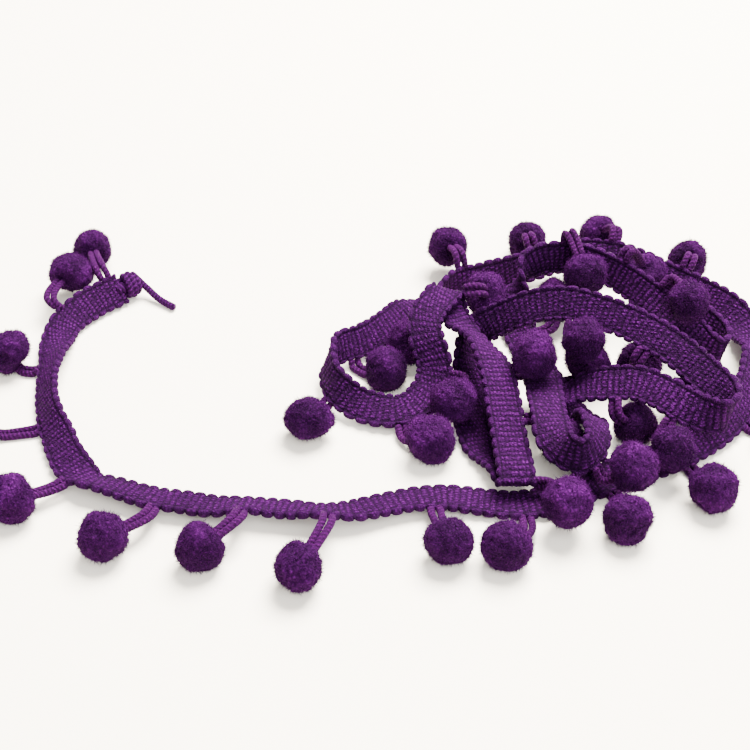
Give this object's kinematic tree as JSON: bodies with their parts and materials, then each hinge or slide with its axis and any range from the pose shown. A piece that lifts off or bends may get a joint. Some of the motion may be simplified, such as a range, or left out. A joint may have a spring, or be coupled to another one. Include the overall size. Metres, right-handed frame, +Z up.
{
  "type": "pompom fringe trim",
  "caption": "Loose length of scalloped knitted tape with fluffy pompoms on corded loops along one edge, lying in a heap and a trailing run.",
  "frame": {"origin": "middle of the trim's footprint on the surface that it lies on", "axes": "+Z up from the surface, +X along the heap and its run, the knotted end towards -X, -Y towards the picture's camera"},
  "size_m": [0.228, 0.147, 0.0253],
  "materials": {
    "knit": "matt knitted yarn",
    "pile": "matt brushed pile"
  },
  "bodies": {
    "root": {"tape": "knit", "end_knot": "knit", "pompom_01": "pile", "pompom_02": "pile", "pompom_03": "pile", "pompom_04": "pile", "pompom_05": "pile", "pompom_06": "pile", "pompom_07": "pile", "pompom_08": "pile", "pompom_09": "pile", "pompom_10": "pile", "pompom_11": "pile", "pompom_12": "pile", "pompom_13": "pile", "pompom_14": "pile", "pompom_15": "pile", "pompom_16": "pile", "pompom_17": "pile", "pompom_18": "pile", "pompom_19": "pile", "pompom_20": "pile", "pompom_21": "pile", "pompom_22": "pile", "pompom_23": "pile", "pompom_24": "pile", "pompom_25": "pile", "pompom_26": "pile", "pompom_27": "pile", "pompom_28": "pile", "pompom_29": "pile", "pompom_30": "pile", "pompom_31": "pile", "pompom_32": "pile", "pompom_33": "pile", "pompom_34": "pile", "pompom_35": "pile", "pompom_36": "pile", "pompom_37": "pile", "pompom_38": "pile", "pompom_39": "pile"}
  },
  "joints": []
}
